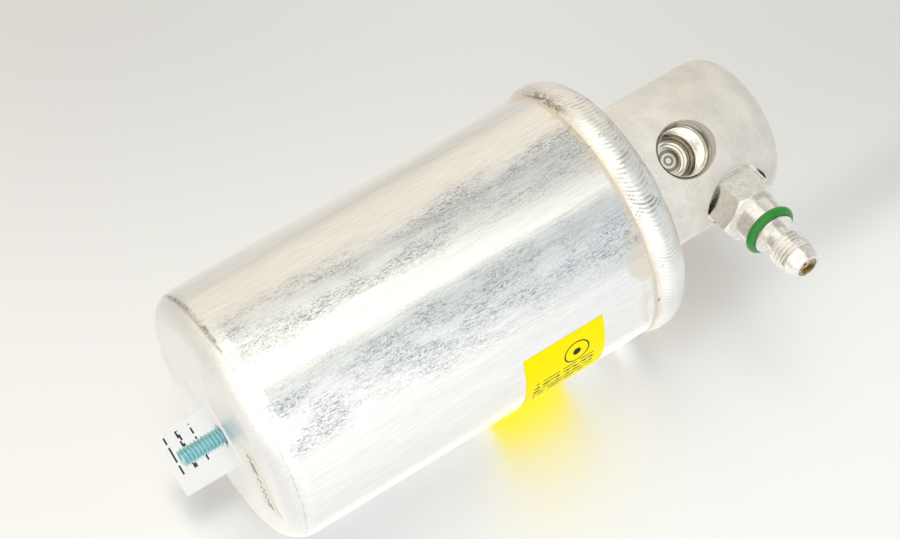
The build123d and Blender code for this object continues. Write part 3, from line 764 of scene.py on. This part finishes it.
    def strip_ramp(self, g, turn):
        """The tone of the strips in a direction round the room."""
        ramp = g.add("ShaderNodeValToRGB", {0: g.math("DIVIDE", g.plus(turn, 180.0), 360.0)})
        elements = ramp.color_ramp.elements
        while len(elements) > 1:
            elements.remove(elements[-1])
        for index, (angle, *tone) in enumerate(self.strips):
            element = elements[0] if index == 0 else elements.new((angle + 180) / 360)
            element.position = (angle + 180) / 360
            element.color = (*tone, 1)
        return ramp.outputs[0]


class DRIER_OT_can(bpy.types.Operator):
    """Finish the drawn can"""

    bl_idname = "drier.can"
    bl_label = "Can"

    def execute(self, context):
        dress("can", can_finish())
        return {"FINISHED"}


class DRIER_OT_head(bpy.types.Operator):
    """Finish the turned head and its ports"""

    bl_idname = "drier.head"
    bl_label = "Head"

    def execute(self, context):
        dress("head", head_finish())
        bore_metal = metal("bored_aluminium", (0.90, 0.87, 0.80, 1), 0.12, 0.22)
        side_mouth = Vector((CAN_X, -HEAD_RADIUS * MM, SIDE_PORT_Z))
        end_mouth = END_PORT + Vector((CAN_X, 0, 0))
        self.port_thread("side_port_thread", side_mouth, Vector((0, 1, 0)), SIDE_THREAD_END, bore_metal)
        self.port_thread("end_port_thread", end_mouth, Vector((0, 0, -1)), END_THREAD_END, bore_metal)
        return {"FINISHED"}

    def port_thread(self, name, mouth, inward, depth, material):
        """The ridge of a port's thread, that runs down the wall of the bore and fades at both ends."""
        pitch = sizes().port_pitch
        start, end = PORT_THREAD_START * MM, depth * MM
        wall, crest = PORT_WALL * MM, PORT_CREST * MM
        faded = wall - 0.03 * MM
        deselect()
        bpy.ops.mesh.primitive_circle_add(vertices=4, radius=wall)
        ridge = bpy.context.object
        ridge.name = ridge.data.name = name
        profile = ((wall, 0.04), (crest, 0.44), (crest, 0.56), (wall, 0.96))
        for vertex, (radius, share) in zip(ridge.data.vertices, profile):
            vertex.co = (radius, 0, start + share * pitch)
        wind(ridge, pitch, int((end - start) / pitch))
        bpy.ops.object.mode_set(mode="EDIT")
        bpy.ops.mesh.select_all(action="DESELECT")
        bpy.ops.mesh.select_non_manifold()
        bpy.ops.mesh.fill()
        bpy.ops.mesh.select_all(action="SELECT")
        bpy.ops.mesh.normals_make_consistent(inside=False)
        bpy.ops.object.mode_set(mode="OBJECT")
        for vertex in ridge.data.vertices:
            reach = hypot(vertex.co.x, vertex.co.y)
            turns_in = min(vertex.co.z - start, end + 0.3 * MM - vertex.co.z) / pitch
            if reach < wall - 0.1 * MM:
                grown = faded - (faded - crest) * max(0.0, min(1.0, turns_in - 0.45))
                vertex.co.x *= grown / reach
                vertex.co.y *= grown / reach
        side = Vector((1, 0, 0))
        turned = Matrix((side, inward.cross(side), inward)).transposed().to_4x4()
        put(ridge, Matrix.Translation(mouth) @ turned)
        bpy.ops.object.shade_smooth_by_angle(angle=radians(30))
        keep(ridge, material)


class DRIER_OT_weld_bead(bpy.types.Operator):
    """Model the weld bead with its lapped ripples"""

    bl_idname = "drier.weld_bead"
    bl_label = "Weld bead"

    def execute(self, context):
        bead = self.ring()
        self.ripple(bead)
        bpy.ops.object.shade_smooth_by_angle(angle=radians(60))
        keep(bead, weld_finish(), stands_for=("weld_bead",))
        return {"FINISHED"}

    def ring(self):
        """Spin the bead's crown, from its toe on the can to its foot on the flange."""
        crown = CROWN_RADIUS * MM
        middle = (BEAD_HIGH.x - BEAD_LOW.x) / 2 - crown
        start, end = (radians(angle) for angle in CROWN_SWEEP)
        level = BEAD_HIGH.z - crown * sin(end)
        deselect()
        bpy.ops.mesh.primitive_circle_add(vertices=22, radius=crown)
        bead = bpy.context.object
        bead.name = bead.data.name = "weld_bead_rippled"
        last = len(bead.data.vertices) - 1
        for index, vertex in enumerate(bead.data.vertices):
            angle = start + (end - start) * index / (last - 1)
            vertex.co = (CAN_X + middle + crown * cos(angle), 0, level + crown * sin(angle))
        bead.data.vertices[last].co = (CAN_X + middle + crown * cos(end), 0, BEAD_HIGH.z - CROWN_FOOT * MM)
        drop_edge(bead, (0, last))
        bpy.ops.mesh.select_all(action="SELECT")
        bpy.ops.mesh.spin(steps=sizes().ripple_count * 8, angle=2 * pi, center=(CAN_X, 0, 0), axis=(0, 0, 1))
        bpy.ops.mesh.select_all(action="SELECT")
        bpy.ops.mesh.remove_doubles(threshold=0.01 * MM)
        bpy.ops.mesh.normals_make_consistent(inside=False)
        bpy.ops.object.mode_set(mode="OBJECT")
        return bead

    def ripple(self, bead):
        """Press curved grooves into the crown, a little uneven, and note where they are for the painted shade in
        them.
        """
        inner = (BEAD_HIGH.x - BEAD_LOW.x) / 2 - RIPPLE_WIDTH * MM
        level = BEAD_HIGH.z - RIPPLE_RADIUS * MM
        groove_painted_shade = bead.data.attributes.new("groove_painted_shade", "FLOAT", "POINT")
        for index, vertex in enumerate(bead.data.vertices):
            out = Vector((vertex.co.x - CAN_X, vertex.co.y, 0))
            turn = Vector((1, 0)).angle_signed(Vector((out.x, out.y))) if out.length else 0.0
            lean = (vertex.co.z - level) / (RIPPLE_RADIUS * MM)
            across = RIPPLE_RADIUS * (asin(max(-1.0, min(1.0, lean))) - radians(8))
            bow = 0.05 * across ** 2
            drift = 1.1 * noise.noise(vertex.co * 60)
            share = (turn / (2 * pi) * sizes().ripple_count - bow + drift) % 1
            uneven = 0.7 + 0.9 * noise.noise(vertex.co * 90 + Vector((5, 2, 1)))
            depth = (1 - abs(sin(pi * share)) ** 0.55) * uneven
            fade = min(1.0, max(0.0, (vertex.co.z - BEAD_LOW.z) / MM))
            fade *= min(1.0, max(0.0, (out.length - inner) / MM))
            wobble = 0.22 * MM * (noise.noise(vertex.co * 160 + Vector((3, 1, 7))) - 0.5) * fade
            inward = sizes().ripple_depth * depth * fade
            normal = out.normalized() * (1 - max(lean, 0)) + Vector((0, 0, max(lean, 0)))
            vertex.co -= normal * (inward - wobble)
            groove_painted_shade.data[index].value = depth * fade
        bead.data.update()


class DRIER_OT_stud(bpy.types.Operator):
    """Cut the thread of the mounting stud"""

    bl_idname = "drier.stud"
    bl_label = "Mounting stud"

    def execute(self, context):
        crest = (STUD_HIGH.x - STUD_LOW.x) / 2
        root = crest - STUD_THREAD_DEPTH * MM
        stud = threaded_rod("stud_threaded", crest, root, sizes().stud_pitch, STUD_LOW.z, 0.3 * MM, 0.5 * MM)
        keep(stud, metal("zinc_plate", tuple(colours().zinc), 0.22, 0.38),
             stands_for=("mounting_stud",))
        return {"FINISHED"}


class DRIER_OT_valve(bpy.types.Operator):
    """Finish the service valve and cut its cap thread"""

    bl_idname = "drier.valve"
    bl_label = "Service valve"

    def execute(self, context):
        finish = valve_finish()
        valve = self.slimmed_body()
        keep(valve, finish, stands_for=("valve_body",))
        thread = threaded_rod("cap_thread", CAP_CREST * MM, CAP_ROOT * MM, sizes().cap_pitch,
                              (CAP_THREAD_START + 0.15) * MM, CAP_THREAD_END * MM, 0.8 * MM)
        put(thread, valve_matrix())
        keep(thread, finish)
        return {"FINISHED"}

    def slimmed_body(self):
        """A copy of the valve body whose threaded stretch is turned down to the thread's root."""
        body = clean_copy("valve_body", "service_valve")
        inner = (CAP_ROOT - 0.15) * MM
        for vertex in body.data.vertices:
            station = (vertex.co - VALVE_FOOT).dot(VALVE_OUT)
            out = vertex.co - VALVE_FOOT - VALVE_OUT * station
            threaded = CAP_THREAD_START - 0.1 < station / MM < CAP_THREAD_END + 0.1
            if threaded and out.length > (CAP_CREST - 0.3) * MM:
                vertex.co += out.normalized() * (inner - out.length)
        bpy.ops.object.shade_smooth_by_angle(angle=radians(25))
        return body


class DRIER_OT_core(bpy.types.Operator):
    """Finish the valve core"""

    bl_idname = "drier.core"
    bl_label = "Valve core"

    def execute(self, context):
        brass = metal("turned_brass", tuple(colours().brass), 0.2, 0.36, 3.0)
        dress("valve_core_body", brass)
        dress("valve_core_pin", brass)
        self.spring()
        dress("valve_core_seal", soft("black_rubber", (0.025, 0.025, 0.025, 1), 0.55))
        dress("valve_core_gasket", soft("white_plastic", (0.80, 0.80, 0.76, 1), 0.4))
        return {"FINISHED"}

    def spring(self):
        """The core's spring, copied from its CAD node with a mesh of its own."""
        spring = clean_copy("valve_core_spring", "core_spring_coils")
        bpy.ops.object.shade_smooth_by_angle(angle=radians(40))
        keep(spring, metal("spring_wire", (0.55, 0.55, 0.55, 1), 0.25, 0.4, 3.0),
             stands_for=("valve_core_spring",))
        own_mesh(spring)


class DRIER_OT_rings(bpy.types.Operator):
    """Finish the rubber rings"""

    bl_idname = "drier.rings"
    bl_label = "Rubber rings"

    def execute(self, context):
        dress("valve_oring", soft("green_rubber", tuple(colours().ring), 0.20, 3.0, 0.01))
        black = bpy.data.materials["black_rubber"]
        dress("valve_seat_oring", black)
        dress("tube_oring", black)
        return {"FINISHED"}


class DRIER_OT_labels(bpy.types.Operator):
    """Finish both labels and the paper tag"""

    bl_idname = "drier.labels"
    bl_label = "Labels and tag"

    def execute(self, context):
        self.side_label(label_finish())
        dress("bottom_label", small_label_finish())
        dress("paper_tag", tag_finish())
        return {"FINISHED"}

    def side_label(self, finish):
        """The side label, bent round the can, with its hidden end carried on past the widest place."""
        low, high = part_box("side_label")
        start, end = (radians(side) for side in LABEL_SIDES)
        face = CAN_RADIUS + PAPER * MM
        deselect()
        bpy.ops.mesh.primitive_grid_add(x_subdivisions=104, y_subdivisions=8, size=1)
        label = bpy.context.object
        label.name = label.data.name = "side_label_wrapped"
        for vertex in label.data.vertices:
            angle = start + (end - start) * (vertex.co.x + 0.5)
            height = low.z + (high.z - low.z) * (vertex.co.y + 0.5)
            vertex.co = (CAN_X + face * cos(angle), face * sin(angle), height)
        thick = label.modifiers.new("paper", "SOLIDIFY")
        thick.thickness = (PAPER - 0.01) * MM
        thick.offset = -1
        bpy.ops.object.modifier_apply(modifier=thick.name)
        bpy.ops.object.shade_smooth_by_angle(angle=radians(30))
        keep(label, finish, stands_for=("side_label",))


class DRIER_OT_inside(bpy.types.Operator):
    """Finish the pickup tube, the strainer and the drying pack"""

    bl_idname = "drier.inside"
    bl_label = "Inside pieces"

    def execute(self, context):
        steel = metal("pressed_steel", (0.62, 0.62, 0.62, 1), 0.25, 0.42)
        felt = soft("pressed_felt", (0.80, 0.78, 0.72, 1), 0.9, 1.6, 0.4)
        dress("pickup_tube", metal("tube_aluminium", (0.84, 0.84, 0.82, 1), 0.22, 0.36))
        dress("strainer", steel)
        dress("lower_plate", steel)
        dress("upper_plate", steel)
        dress("pack_spring", bpy.data.materials["spring_wire"])
        dress("lower_pad", felt)
        dress("upper_pad", felt)
        dress("desiccant_bed", soft("drying_beads", (0.74, 0.68, 0.58, 1), 0.8, 0.6, 1.0))
        return {"FINISHED"}


class DRIER_PT_panel(bpy.types.Panel):
    """The drier's operators and values in the sidebar"""

    bl_idname = "DRIER_PT_panel"
    bl_label = "Filter drier"
    bl_space_type = "VIEW_3D"
    bl_region_type = "UI"
    bl_category = "Drier"

    def draw(self, context):
        for operator in OPERATORS:
            self.layout.operator(operator.bl_idname)
        for group in (context.scene.drier_sizes, context.scene.drier_colours, context.scene.drier_stage):
            box = self.layout.box()
            for name in group.bl_rna.properties.keys()[2:]:
                box.prop(group, name)


OPERATORS = (DRIER_OT_stage, DRIER_OT_can, DRIER_OT_head, DRIER_OT_weld_bead, DRIER_OT_stud, DRIER_OT_valve,
             DRIER_OT_core, DRIER_OT_rings, DRIER_OT_labels, DRIER_OT_inside)
CLASSES = (DrierSizes, DrierColours, DrierStage) + OPERATORS + (DRIER_PT_panel,)


def register():
    for cls in CLASSES:
        bpy.utils.register_class(cls)
    bpy.types.Scene.drier_sizes = PointerProperty(type=DrierSizes)
    bpy.types.Scene.drier_colours = PointerProperty(type=DrierColours)
    bpy.types.Scene.drier_stage = PointerProperty(type=DrierStage)


def unregister():
    del bpy.types.Scene.drier_stage
    del bpy.types.Scene.drier_colours
    del bpy.types.Scene.drier_sizes
    for cls in reversed(CLASSES):
        bpy.utils.unregister_class(cls)


def main():
    register()
    for operator in OPERATORS:
        group, name = operator.bl_idname.split(".")
        getattr(getattr(bpy.ops, group), name)()


if __name__ == "__main__":
    main()
